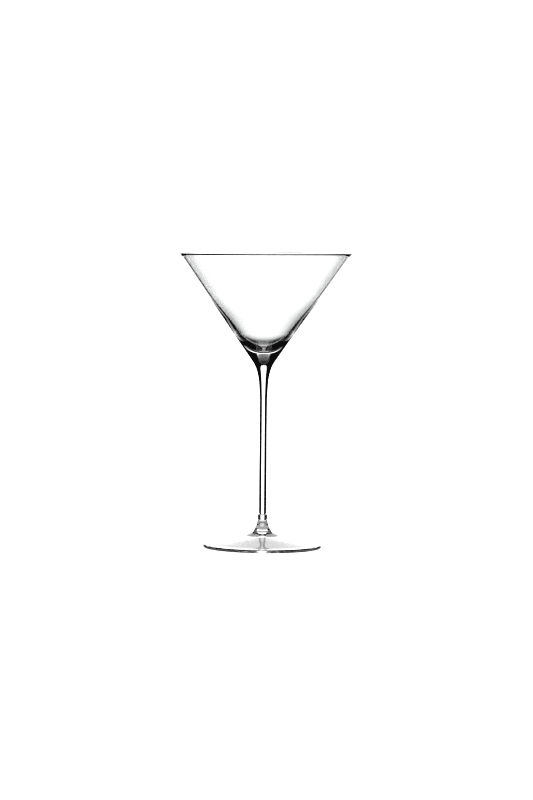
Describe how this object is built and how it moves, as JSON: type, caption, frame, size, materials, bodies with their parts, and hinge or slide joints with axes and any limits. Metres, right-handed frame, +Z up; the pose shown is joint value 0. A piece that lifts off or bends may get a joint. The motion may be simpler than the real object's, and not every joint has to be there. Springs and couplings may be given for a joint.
{
  "type": "martini glass",
  "caption": "Stemmed cocktail glass: a conical bowl whose wall thickens downwards into a solid base, a slim drawn stem and a round foot with a trumpet neck and a shallow hollow underneath.",
  "frame": {"origin": "centre of the foot, on the surface that the glass stands on", "axes": "+Z up along the glass's axis of symmetry, from the foot to the rim; X and Y lie in the table plane and are interchangeable"},
  "size_m": [0.122, 0.122, 0.21],
  "materials": {
    "bowl_glass": "clear, fire polished",
    "stem_glass": "clear, fire polished",
    "foot_glass": "clear, fire polished"
  },
  "bodies": {
    "root": {"bowl": "bowl_glass", "stem": "stem_glass", "foot": "foot_glass"}
  },
  "joints": []
}
